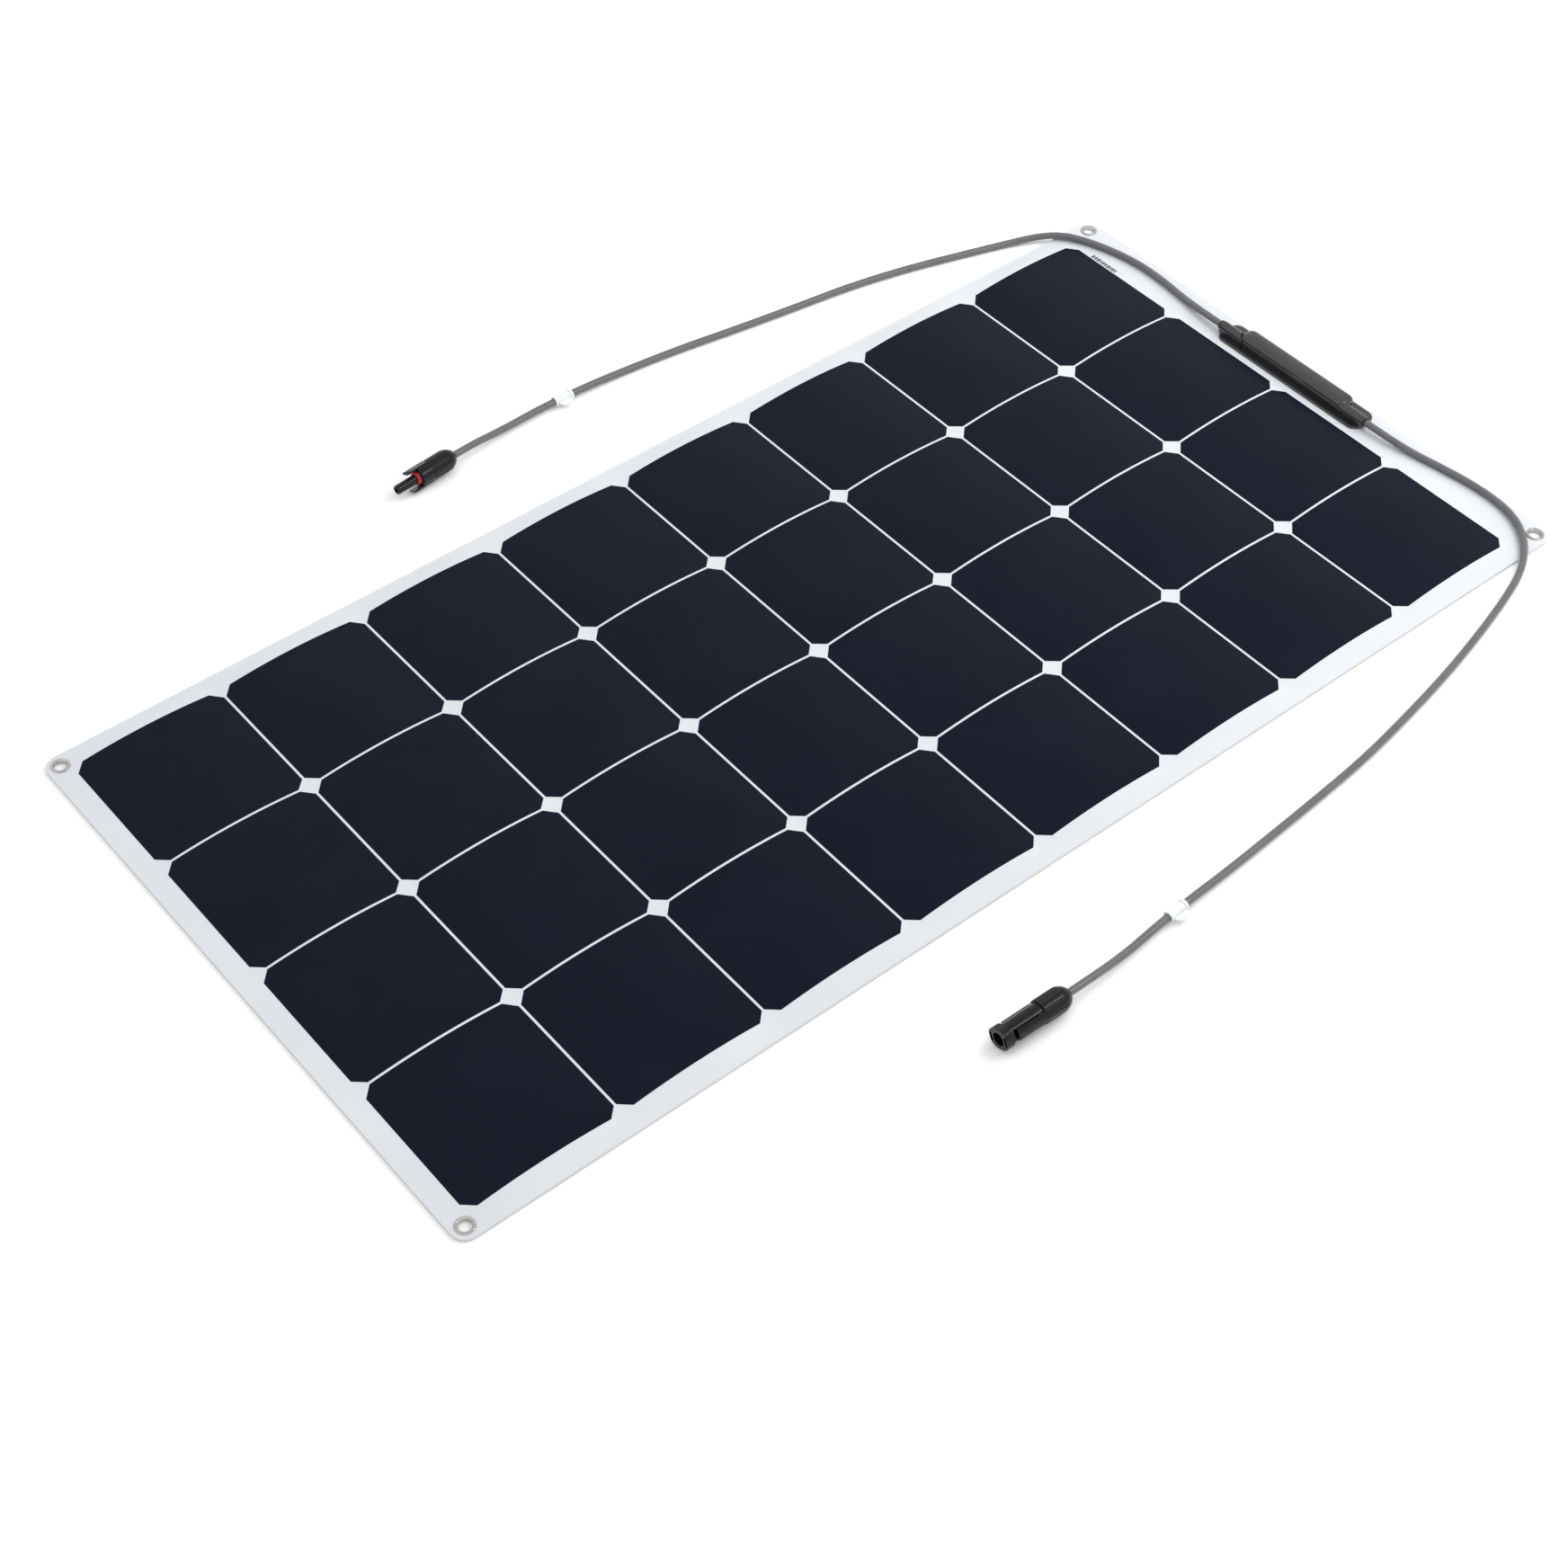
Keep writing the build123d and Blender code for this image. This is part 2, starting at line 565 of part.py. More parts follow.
def plug_body():
    """Thread spigot, barrel with two latch slots, and the probe that enters a cup."""
    barrel_end = PLUG_BARREL_X[1]
    seat_end = RING_X[1] + 0.1
    lip = PROBE_TIP - PROBE_LIP
    outline = Polyline(
        (SPIGOT_X, SEAL_BORE_R), (SPIGOT_X, SPIGOT_R), (PLUG_BARREL_X[0], SPIGOT_R),
        (PLUG_BARREL_X[0], PLUG_BARREL_R), (barrel_end - PLUG_BARREL_EDGE, PLUG_BARREL_R),
        (barrel_end, PLUG_BARREL_R - PLUG_BARREL_EDGE), (barrel_end, RING_SEAT_R),
        (seat_end, RING_SEAT_R), (seat_end, PROBE_R), (PROBE_TIP - PROBE_ROUND, PROBE_R)
    )
    tip = (PROBE_TIP, PROBE_R - PROBE_ROUND)
    outline += TangentArc((PROBE_TIP - PROBE_ROUND, PROBE_R), tip, tangent=(1, 0))
    outline += Polyline(
        tip, (PROBE_TIP, PROBE_MOUTH_R), (lip, PROBE_MOUTH_R), (lip, SOCKET_BORE_R),
        (CRIMP_BORE_END, SOCKET_BORE_R), (CRIMP_BORE_END, CRIMP_BORE_R), (SEAL_BORE_END, CRIMP_BORE_R),
        (SEAL_BORE_END, SEAL_BORE_R), (SPIGOT_X, SEAL_BORE_R)
    )
    half = LATCH_WIDTH / 2 + LATCH_GAP
    slot_x = (LATCH_X[0] - LATCH_GAP, barrel_end + CUT)
    slot = block(slot_x, (-half, half), (LATCH_R[0] - LATCH_SWING, ENVELOPE_R + CUT))
    return turned(outline) - slot - Rot(180, 0, 0) * slot


def latch_arm():
    """A sprung prong with a barb near its tip, on the +Z side."""
    tip = LATCH_X[1]
    outline = Polyline(
        (LATCH_X[0], LATCH_R[0]), (tip, LATCH_R[0]), (tip, LATCH_R[0] + LATCH_NOSE),
        (tip - BARB_BACK[0], BARB_R), (tip - BARB_BACK[1], BARB_R), (tip - BARB_BACK[1], LATCH_R[1]),
        (LATCH_X[0], LATCH_R[1]), close=True
    )
    bar = extrude(Plane.XZ * make_face(outline), LATCH_WIDTH / 2, both=True)
    return bar & tube_x((LATCH_X[0] - CUT, tip + CUT), ENVELOPE_R)


def plug_contact():
    """The crimped socket that takes a 4 mm pin."""
    outline = Polyline(
        (LEAD_END, 0), (LEAD_END, CRIMP_R), (COLLAR_SPAN[0], CRIMP_R), (COLLAR_SPAN[0], COLLAR_R),
        (COLLAR_SPAN[1], COLLAR_R), (COLLAR_SPAN[1], SOCKET_R), (SOCKET_X[1], SOCKET_R),
        (SOCKET_X[1], PIN_R), (SOCKET_X[0], PIN_R), (SOCKET_X[0] - SOCKET_CONE, 0), close=True
    )
    return turned(outline)


def cup_body():
    """Thread spigot, cored barrel, two side wings with latch windows, and a squared collar."""
    body = tube_x((SPIGOT_X, CUP_CORE_X[0]), SPIGOT_R) + tube_x(CUP_CORE_X, CUP_CORE_R)
    wing = block(WING_X, (-WING_R, WING_R), (-WING_HALF, WING_HALF))
    body += wing & tube_x(WING_X, WING_R)
    collar = block(COLLAR_X, (-COLLAR_HALF[0], COLLAR_HALF[0]), (-COLLAR_HALF[1], COLLAR_HALF[1]))
    body += fillet(collar.edges().filter_by(Axis.X), COLLAR_CORNER)
    body -= turned(Polyline(
        (SPIGOT_X, 0), (SPIGOT_X, SEAL_BORE_R), (SEAL_BORE_END, SEAL_BORE_R), (SEAL_BORE_END, CRIMP_BORE_R),
        (CRIMP_BORE_END, CRIMP_BORE_R), (CRIMP_BORE_END, STEM_R + 0.05), (CUP_BORE_X, STEM_R + 0.05),
        (CUP_BORE_X, CUP_BORE_R), (CUP_MOUTH_X, CUP_BORE_R), (CUP_MOUTH_X, CUP_MOUTH_R),
        (CUP_MOUTH, CUP_MOUTH_R), (CUP_MOUTH, 0), close=True
    ))
    across = (-WING_HALF - CUT, WING_HALF + CUT)
    for side in (-1, 1):
        channel_y = sorted((side * CHANNEL_R[0], side * CHANNEL_R[1]))
        body -= block((CHANNEL_X, CUP_MOUTH), channel_y, (-CHANNEL_HALF, CHANNEL_HALF))
        window_y = sorted((side * CHANNEL_R[0], side * (WING_R + CUT)))
        body -= block((WING_X[1], COLLAR_X[0]), window_y, across)
        groove_y = sorted((side * WING_GROOVE_R[0], side * WING_GROOVE_R[1]))
        body -= block((WING_GROOVE_X, WING_X[1]), groove_y, across)
    return body


def cup_contact_pin():
    """The crimped 4 mm pin, round at its tip."""
    round_x = PIN_TIP - PIN_ROUND
    tip = (PIN_TIP, PIN_R - PIN_ROUND)
    outline = Polyline(
        (LEAD_END, 0), (LEAD_END, CRIMP_R), (COLLAR_SPAN[0], CRIMP_R), (COLLAR_SPAN[0], COLLAR_R),
        (COLLAR_SPAN[1], COLLAR_R), (COLLAR_SPAN[1], STEM_R), (CUP_BORE_X, STEM_R), (CUP_BORE_X, PIN_R),
        (round_x, PIN_R)
    )
    outline += TangentArc((round_x, PIN_R), tip, tangent=(1, 0))
    outline += Polyline(tip, (PIN_TIP, 0), (LEAD_END, 0))
    return turned(outline)


def make_connectors():
    at = laid(PLUG_REAR, PLUG_HEADING)
    rolled = at * Rot(PLUG_ROLL, 0, 0)
    save("plug_gland_nut", [at * gland_nut(*PLUG_NUT)])
    save("plug_clamp_cage", [at * clamp_cage()])
    save("plug_cable_seal", [at * cable_seal()])
    save("plug_body", [rolled * plug_body()])
    save("plug_contact", [at * plug_contact()])
    save("plug_seal_ring", [at * tube_x(RING_X, RING_R, RING_SEAT_R + FIT_GAP)])
    save("latch_arm_upper", [rolled * latch_arm()])
    save("latch_arm_lower", [rolled * Rot(180, 0, 0) * latch_arm()])

    at = laid(CUP_REAR, CUP_HEADING)
    rolled = at * Rot(CUP_ROLL, 0, 0)
    save("cup_gland_nut", [at * gland_nut(*CUP_NUT)])
    save("cup_clamp_cage", [at * clamp_cage()])
    save("cup_cable_seal", [at * cable_seal()])
    save("cup_body", [rolled * cup_body()])
    save("cup_contact_pin", [at * cup_contact_pin()])


# ---------------------------------------------------------------- leads
def behind(rear, heading, distance):
    """A point on a connector's axis, measured forward from its rear."""
    angle = math.radians(heading)
    return (rear[0] + distance * math.cos(angle), rear[1] + distance * math.sin(angle), rear[2])


FAR_ROUTE = [
    (SNOUT_X, LEAD_START_Y, SNOUT_Z),
    (SNOUT_X, 100.0, SNOUT_Z),
    (517.4, 131.0, ON_SHEET),
    (521.0, 162.0, ON_SHEET),
    (521.6, 192.0, ON_SHEET),
    (516.6, 222.0, ON_SHEET),
    (507.5, 249.0, ON_SHEET + 0.2),
    (496.0, 267.0, ON_SHEET + 1.1),
    (479.0, 280.5, ON_SHEET - 0.3),
    (452.0, 292.0, ON_FLOOR),
    (410.0, 305.0, ON_FLOOR),
    (360.0, 320.0, ON_FLOOR),
    (304.0, 332.5, ON_FLOOR),
    (246.0, 340.0, ON_FLOOR),
    (188.0, 348.5, ON_FLOOR),
    (132.0, 358.0, ON_FLOOR),
    (84.0, 363.5, ON_FLOOR),
    (38.0, 366.2, IN_MARKER),
    (-8.0, 366.8, IN_MARKER),
    (-48.0, 364.6, ON_FLOOR + 1.6),
    behind(PLUG_REAR, PLUG_HEADING, -16.0),
    behind(PLUG_REAR, PLUG_HEADING, LEAD_END),
]
NEAR_ROUTE = [
    (SNOUT_X, -LEAD_START_Y, SNOUT_Z),
    (SNOUT_X, -100.0, SNOUT_Z),
    (518.0, -130.0, ON_SHEET),
    (523.4, -161.0, ON_SHEET),
    (527.6, -191.0, ON_SHEET),
    (527.4, -220.0, ON_SHEET + 0.1),
    (519.5, -246.0, ON_SHEET + 0.8),
    (501.5, -268.0, ON_SHEET + 1.2),
    (477.5, -284.0, ON_SHEET - 0.6),
    (446.0, -295.0, ON_FLOOR),
    (402.0, -308.0, ON_FLOOR),
    (352.0, -320.8, ON_FLOOR),
    (294.0, -332.6, ON_FLOOR),
    (232.0, -343.2, ON_FLOOR),
    (172.0, -349.0, ON_FLOOR),
    (112.0, -354.0, ON_FLOOR),
    (68.0, -357.4, ON_FLOOR + 0.2),
    (38.0, -359.4, IN_MARKER),
    (-2.0, -362.6, IN_MARKER),
    (-38.0, -367.0, ON_FLOOR + 1.8),
    behind(CUP_REAR, CUP_HEADING, -16.0),
    behind(CUP_REAR, CUP_HEADING, LEAD_END),
]


def make_lead(node, route):
    """A round lead: straight runs joined by tangent arcs as large as the runs allow."""
    points = [Vector(*p) for p in route]
    runs = [b - a for a, b in zip(points, points[1:])]
    radii = []
    for before, after in zip(runs, runs[1:]):
        half_turn = math.radians(before.get_angle(after)) / 2
        radii.append(ARC_SHARE * min(before.length, after.length) / math.tan(half_turn))
    path = FilletPolyline(*points, radius=radii)
    tube = sweep(Plane(path @ 0, z_dir=path % 0) * Circle(LEAD_R), path=path)
    save(node, [tube])
    section_times_length = math.pi * LEAD_R ** 2 * path.length
    print(node, "arc radii:", [round(r) for r in radii])
    print(node, "length", round(path.length, 1), "volume over section x length",
          round(tube.volume / section_times_length, 4))


def marker(route):
    """A clip-on marker sleeve with rolled ends and a half-round tab."""
    start = Vector(*route[MARKER_RUN])
    end = Vector(*route[MARKER_RUN + 1])
    along = (end - start).normalized()
    origin = (start + end) * 0.5 - along * (MARKER_LENGTH / 2)
    sleeve = tube_x((0, MARKER_LENGTH), MARKER_BODY_R) + tube_x((0, MARKER_END), MARKER_R)
    sleeve += tube_x((MARKER_LENGTH - MARKER_END, MARKER_LENGTH), MARKER_R)
    disc = Pos(MARKER_LENGTH / 2, 0, 0) * Cylinder(MARKER_LENGTH / 2 - MARKER_END, MARKER_TAB)
    tab = disc & block((0, MARKER_LENGTH), (0, MARKER_LENGTH), (-MARKER_TAB, MARKER_TAB))
    sleeve += Pos(0, MARKER_BODY_R - MARKER_TAB_SINK, 0) * tab
    sleeve -= tube_x((-CUT, MARKER_LENGTH + CUT), MARKER_BORE_R)
    return Plane(origin=origin, x_dir=along, z_dir=(0, 0, 1)).location * sleeve


def make_leads():
    make_lead("lead_far", FAR_ROUTE)
    make_lead("lead_near", NEAR_ROUTE)
    save("lead_marker_far", [marker(FAR_ROUTE)])
    save("lead_marker_near", [marker(NEAR_ROUTE)])


box_end_ribbons = make_laminate()
make_eyelets()
make_box(box_end_ribbons)
make_connectors()
make_leads()
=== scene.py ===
import math

import bmesh
import bpy
from mathutils import Matrix, Vector


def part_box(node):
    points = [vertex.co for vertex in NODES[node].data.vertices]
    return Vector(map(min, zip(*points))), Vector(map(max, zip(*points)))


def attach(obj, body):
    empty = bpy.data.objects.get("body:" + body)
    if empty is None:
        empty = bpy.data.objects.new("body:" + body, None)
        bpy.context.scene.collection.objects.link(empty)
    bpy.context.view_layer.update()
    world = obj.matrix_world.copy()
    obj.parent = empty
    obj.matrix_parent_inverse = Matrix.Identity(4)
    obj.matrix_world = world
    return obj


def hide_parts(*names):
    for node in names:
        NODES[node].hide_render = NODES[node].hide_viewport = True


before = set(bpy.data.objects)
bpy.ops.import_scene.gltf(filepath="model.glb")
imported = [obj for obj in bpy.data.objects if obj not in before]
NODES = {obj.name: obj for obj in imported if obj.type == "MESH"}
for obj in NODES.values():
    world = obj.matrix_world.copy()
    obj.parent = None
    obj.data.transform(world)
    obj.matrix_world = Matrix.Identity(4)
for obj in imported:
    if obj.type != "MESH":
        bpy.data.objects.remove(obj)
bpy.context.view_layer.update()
MM = 0.001

# ---------------------------------------------------------------- sizes, in metres
SHEET_LOW, SHEET_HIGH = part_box("back_sheet")
SHEET_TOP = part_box("front_film")[1].z
LAYER_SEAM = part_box("stiffener_board")[1].z
SHEET_CORNER = 12 * MM
COLUMNS = 8
STRINGS = 4
CELL = 125 * MM
CELL_CORNER = 8.3 * MM
PITCH = 127 * MM
FIELD_X0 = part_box("cell_string_1")[0].x
FIELD_Y0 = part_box("cell_string_1")[0].y
SLICE_STEPS = 14
PLAIN_END_SLICE = 8 * MM
BOX_END_SLICES = 4
CELL_STEPS = 16
MARGIN_ROWS = 8
SLICE_SNAP = 1e-7
ARCH_HEIGHT = 4.0 * MM
CELL_STAND = 0.06 * MM
CELL_SINK = 0.2 * MM
EYELET_INSET = 11 * MM
EYELET_HOLE = 5.45 * MM
EYELET_STEPS = 40
CORNER_STEPS = 10

# The lid: upright walls to its shoulder, then rings that round in to the crown.
LID_SHOULDER = 10.6 * MM
LID_CORNER_STEPS = 8
LID_CORNER_SHARE = 0.72
LID_RINGS = 12
LID_SWEEP = 0.94
LID_POWER = 2.3

# The label's print: widths of the bars and of the gaps after them, in millimetres.
PRINT_BARS = ((1.6, 0.9), (2.4, 0.8), (1.6, 0.8), (2.6, 1.0), (2.0, 0.8),
              (2.4, 0.9), (1.8, 0.8), (2.8, 0.8), (2.2, 0.9), (2.6, 0.8))
PRINT_START = 7.0 * MM
PRINT_INSET = 0.55 * MM
PRINT_SINK = 0.02 * MM
PRINT_STAND = 0.03 * MM

EYELET_SPOTS = [
    (sx * (SHEET_HIGH.x - EYELET_INSET), sy * (SHEET_HIGH.y - EYELET_INSET))
    for sx in (-1, 1) for sy in (-1, 1)
]


# ---------------------------------------------------------------- camera
SENSOR_WIDTH = 36.0
FOCAL_LENGTH = 64.60
CAMERA_PLACE = (-1.01731, -1.16957, 1.52838)
CAMERA_AZIMUTH = math.radians(39.778)
CAMERA_ELEVATION = math.radians(47.387)
CAMERA_ROLL = math.radians(0.571)
FAR_CLIP = 50.0


def make_camera():
    data = bpy.data.cameras.new("camera")
    data.sensor_width = SENSOR_WIDTH
    data.lens = FOCAL_LENGTH
    data.clip_end = FAR_CLIP
    cam = bpy.data.objects.new("camera", data)
    bpy.context.scene.collection.objects.link(cam)
    turn = Matrix.Rotation(-CAMERA_AZIMUTH, 4, "Z") @ Matrix.Rotation(math.pi / 2 - CAMERA_ELEVATION, 4, "X")
    cam.matrix_world = Matrix.Translation(CAMERA_PLACE) @ turn @ Matrix.Rotation(CAMERA_ROLL, 4, "Z")
    bpy.context.scene.camera = cam


# ---------------------------------------------------------------- leads
# Routes are in millimetres, from inside the box's snout to inside the connector.
LEAD_D = 6 * MM
EXIT_X = 513.5
EXIT_Z = 9.0
AXIS_Z = 9.75
PLUG_REAR = (-102.1, 358.2, AXIS_Z)
PLUG_HEADING = 186.4
CUP_REAR = (-95.7, -369.8, AXIS_Z)
CUP_HEADING = 179.3
LEAD_END = 16.5


def on_axis(rear, heading, distance):
    """A point on a connector's axis, measured forward from its rear, in millimetres."""
    angle = math.radians(heading)
    return (rear[0] + distance * math.cos(angle), rear[1] + distance * math.sin(angle), rear[2])


FAR_ROUTE = [
    (EXIT_X, 70.0, EXIT_Z),
    (EXIT_X, 100.0, EXIT_Z),
    (517.4, 131.0, 5.5),
    (521.0, 162.0, 5.5),
    (521.6, 192.0, 5.5),
    (516.6, 222.0, 5.5),
    (507.5, 249.0, 5.7),
    (496.0, 267.0, 6.6),
    (479.0, 280.5, 5.2),
    (452.0, 292.0, 3.0),
    (410.0, 305.0, 3.0),
    (360.0, 320.0, 3.0),
    (304.0, 332.5, 3.0),
    (246.0, 340.0, 3.0),
    (188.0, 348.5, 3.0),
    (132.0, 358.0, 3.0),
    (84.0, 363.5, 3.0),
    (38.0, 366.2, 4.6),
    (-8.0, 366.8, 4.6),
    (-48.0, 364.6, 4.6),
    on_axis(PLUG_REAR, PLUG_HEADING, -16.0),
    on_axis(PLUG_REAR, PLUG_HEADING, LEAD_END),
]
NEAR_ROUTE = [
    (EXIT_X, -70.0, EXIT_Z),
    (EXIT_X, -100.0, EXIT_Z),
    (518.0, -130.0, 5.5),
    (523.4, -161.0, 5.5),
    (527.6, -191.0, 5.5),
    (527.4, -220.0, 5.6),
    (519.5, -246.0, 6.3),
    (501.5, -268.0, 6.7),
    (477.5, -284.0, 4.9),
    (446.0, -295.0, 3.0),
    (402.0, -308.0, 3.0),
    (352.0, -320.8, 3.0),
    (294.0, -332.6, 3.0),
    (232.0, -343.2, 3.0),
    (172.0, -349.0, 3.0),
    (112.0, -354.0, 3.0),
    (68.0, -357.4, 3.2),
    (38.0, -359.4, 4.6),
    (-2.0, -362.6, 4.6),
    (-38.0, -367.0, 4.8),
    on_axis(CUP_REAR, CUP_HEADING, -16.0),
    on_axis(CUP_REAR, CUP_HEADING, LEAD_END),
]


def make_lead(name, node, route):
    """A free lead: one open NURBS spline with the route's points as its control points."""
    curve = bpy.data.curves.new(name, "CURVE")
    curve.dimensions = "3D"
    spline = curve.splines.new("NURBS")
    spline.points.add(len(route) - 1)
    for point, spot in zip(spline.points, route):
        point.co = (spot[0] * MM, spot[1] * MM, spot[2] * MM, 1.0)
    spline.order_u = 3
    spline.use_endpoint_u = True
    spline.resolution_u = 12
    curve.bevel_depth = LEAD_D / 2
    curve.bevel_resolution = 6
    curve.use_fill_caps = True
    curve.materials.append(MATERIALS["jacket"])
    lead = bpy.data.objects.new(name, curve)
    bpy.context.scene.collection.objects.link(lead)
    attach(lead, "root")
    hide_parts(node)


# ---------------------------------------------------------------- materials
def shader(name, **sockets):
    """A new material with its Principled shader's own sockets set."""
    mat = bpy.data.materials.new(name)
    mat.use_nodes = True
    bsdf = mat.node_tree.nodes["Principled BSDF"]
    for socket, value in sockets.items():
        bsdf.inputs[socket.replace("_", " ")].default_value = value
    return mat, mat.node_tree, bsdf


def noise(tree, scale, detail=2.0, stretch=(1.0, 1.0, 1.0)):
    """Noise over the piece's own coordinates."""
    place = tree.nodes.new("ShaderNodeTexCoord")
    mapping = tree.nodes.new("ShaderNodeMapping")
    mapping.inputs["Scale"].default_value = stretch
    tex = tree.nodes.new("ShaderNodeTexNoise")
    tex.inputs["Scale"].default_value = scale
    tex.inputs["Detail"].default_value = detail
    tree.links.new(place.outputs["Object"], mapping.inputs["Vector"])
    tree.links.new(mapping.outputs["Vector"], tex.inputs["Vector"])
    return tex.outputs["Fac"]


def ramp(tree, value, low, high, start=0.3, end=0.7):
    """Colours from low to high as value goes from start to end."""
    node = tree.nodes.new("ShaderNodeValToRGB")
    first, last = node.color_ramp.elements
    first.position, first.color = start, (*low, 1.0)
    last.position, last.color = end, (*high, 1.0)
    tree.links.new(value, node.inputs["Fac"])
    return node.outputs["Color"]


def span(tree, value, low, high, start=0.3, end=0.7):
    """A number from low to high as value goes from start to end."""
    node = tree.nodes.new("ShaderNodeMapRange")
    node.inputs["From Min"].default_value = start
    node.inputs["From Max"].default_value = end
    node.inputs["To Min"].default_value = low
    node.inputs["To Max"].default_value = high
    tree.links.new(value, node.inputs["Value"])
    return node.outputs["Result"]


def bump(tree, bsdf, height, strength, distance):
    node = tree.nodes.new("ShaderNodeBump")
    node.inputs["Strength"].default_value = strength
    node.inputs["Distance"].default_value = distance
    tree.links.new(height, node.inputs["Height"])
    tree.links.new(node.outputs["Normal"], bsdf.inputs["Normal"])


GRAIN_DEPTH = 0.05 * MM
SCRATCH_DEPTH = 0.03 * MM
FILM_GRAIN = 1400.0


def moulded(name, low, high, rough, grain=900.0, strength=0.25, **sockets):
    """Moulded plastic or rubber: slightly uneven colour and gloss over a fine grain."""
    mat, tree, bsdf = shader(name, **sockets)
    broad = noise(tree, 60.0, 3.0)
    tree.links.new(ramp(tree, broad, low, high), bsdf.inputs["Base Color"])
    tree.links.new(span(tree, broad, rough[0], rough[1]), bsdf.inputs["Roughness"])
    bump(tree, bsdf, noise(tree, grain, 2.0), strength, GRAIN_DEPTH)
    return mat


def metal(name, low, high, rough, scratches=400.0):
    """Plated metal: uneven tone and gloss, and fine drawn scratches."""
    mat, tree, bsdf = shader(name, Metallic=1.0)
    broad = noise(tree, 120.0, 3.0)
    tree.links.new(ramp(tree, broad, low, high), bsdf.inputs["Base Color"])
    tree.links.new(span(tree, broad, rough[0], rough[1]), bsdf.inputs["Roughness"])
    bump(tree, bsdf, noise(tree, scratches, 4.0, (1.0, 1.0, 6.0)), 0.12, SCRATCH_DEPTH)
    return mat


def film_material():
    """White ground under a clear, finely embossed film."""
    mat, tree, bsdf = shader("film_white", Specular_IOR_Level=0.35)
    broad = noise(tree, 9.0, 4.0)
    tree.links.new(ramp(tree, broad, (0.600, 0.618, 0.650), (0.635, 0.650, 0.680)), bsdf.inputs["Base Color"])
    tree.links.new(span(tree, broad, 0.36, 0.46), bsdf.inputs["Roughness"])
    bump(tree, bsdf, noise(tree, FILM_GRAIN, 1.0), 0.2, GRAIN_DEPTH)
    return mat


def cell_material():
    """Blue-black silicon: a faint mottle, and a fine emboss from the film over it."""
    mat, tree, bsdf = shader("silicon", Specular_IOR_Level=0.09)
    broad = noise(tree, 14.0, 5.0)
    tree.links.new(ramp(tree, broad, (0.0016, 0.0045, 0.0125), (0.0030, 0.0062, 0.0150)),
                   bsdf.inputs["Base Color"])
    fine = noise(tree, 220.0, 3.0)
    tree.links.new(span(tree, fine, 0.30, 0.38), bsdf.inputs["Roughness"])
    bump(tree, bsdf, noise(tree, FILM_GRAIN, 1.0), 0.2, GRAIN_DEPTH)
    return mat


MATERIALS = {}


def make_materials():
    """Every material. Plastics and rubbers: darkest and palest colour, then smoothest and roughest gloss."""
    MATERIALS["film"] = film_material()
    MATERIALS["silicon"] = cell_material()
    MATERIALS["label"] = moulded("label_pale", (0.52, 0.57, 0.62), (0.60, 0.65, 0.70), (0.45, 0.55))
    MATERIALS["print"] = moulded("label_print", (0.055, 0.065, 0.085), (0.11, 0.125, 0.15), (0.5, 0.6))
    MATERIALS["back"] = moulded("back_white", (0.54, 0.535, 0.515), (0.61, 0.605, 0.585), (0.5, 0.6),
                                grain=700.0, strength=0.2)
    MATERIALS["jacket"] = moulded("lead_jacket", (0.084, 0.084, 0.089), (0.104, 0.104, 0.110), (0.26, 0.36),
                                  Specular_IOR_Level=0.9)
    MATERIALS["box"] = moulded("box_black", (0.004, 0.0045, 0.006), (0.007, 0.0075, 0.009), (0.20, 0.30),
                               Specular_IOR_Level=1.0)
    MATERIALS["connector"] = moulded("connector_black", (0.002, 0.0024, 0.0035), (0.004, 0.0045, 0.006),
                                     (0.16, 0.26), Specular_IOR_Level=0.30)
    MATERIALS["cage"] = moulded("cage_black", (0.02, 0.02, 0.022), (0.03, 0.03, 0.033), (0.4, 0.5))
    MATERIALS["seal"] = moulded("seal_black", (0.012, 0.012, 0.012), (0.018, 0.018, 0.018), (0.5, 0.6))
    MATERIALS["ring"] = moulded("ring_red", (0.36, 0.012, 0.016), (0.46, 0.020, 0.026), (0.35, 0.45))
    MATERIALS["marker"] = moulded("marker_white", (0.70, 0.72, 0.74), (0.78, 0.79, 0.80), (0.35, 0.45))
    MATERIALS["eyelet"] = metal("eyelet_nickel", (0.42, 0.415, 0.41), (0.64, 0.63, 0.62), (0.14, 0.26))
    MATERIALS["copper"] = metal("tinned_copper", (0.62, 0.60, 0.56), (0.70, 0.68, 0.64), (0.3, 0.45))


NODE_LOOKS = {
    "eyelets": "eyelet", "eyelet_washers": "eyelet",
    "junction_base": "box", "junction_lid": "box", "junction_adhesive": "seal", "junction_potting": "seal",
    "lid_gasket": "seal", "strain_relief_far": "seal", "strain_relief_near": "seal",
    "bypass_diodes": "cage", "junction_terminals": "copper", "conductor_tails": "copper",
    "bus_ribbons_plain_end": "copper", "bus_ribbons_box_end": "copper",
    "cell_interconnects_1": "copper", "cell_interconnects_2": "copper",
    "cell_interconnects_3": "copper", "cell_interconnects_4": "copper",
    "serial_label": "label", "lead_marker_far": "marker", "lead_marker_near": "marker",
    "plug_body": "connector", "latch_arm_upper": "connector", "latch_arm_lower": "connector",
    "plug_gland_nut": "connector", "cup_gland_nut": "connector", "cup_body": "connector",
    "plug_clamp_cage": "cage", "cup_clamp_cage": "cage",
    "plug_cable_seal": "seal", "cup_cable_seal": "seal", "plug_seal_ring": "ring",
    "plug_contact": "copper", "cup_contact_pin": "copper",
}


def dress_nodes():
    for node, look in NODE_LOOKS.items():
        data = NODES[node].data
        data.materials.clear()
        data.materials.append(MATERIALS[look])


# ---------------------------------------------------------------- laminate
SHARP_ANGLE = math.radians(30)


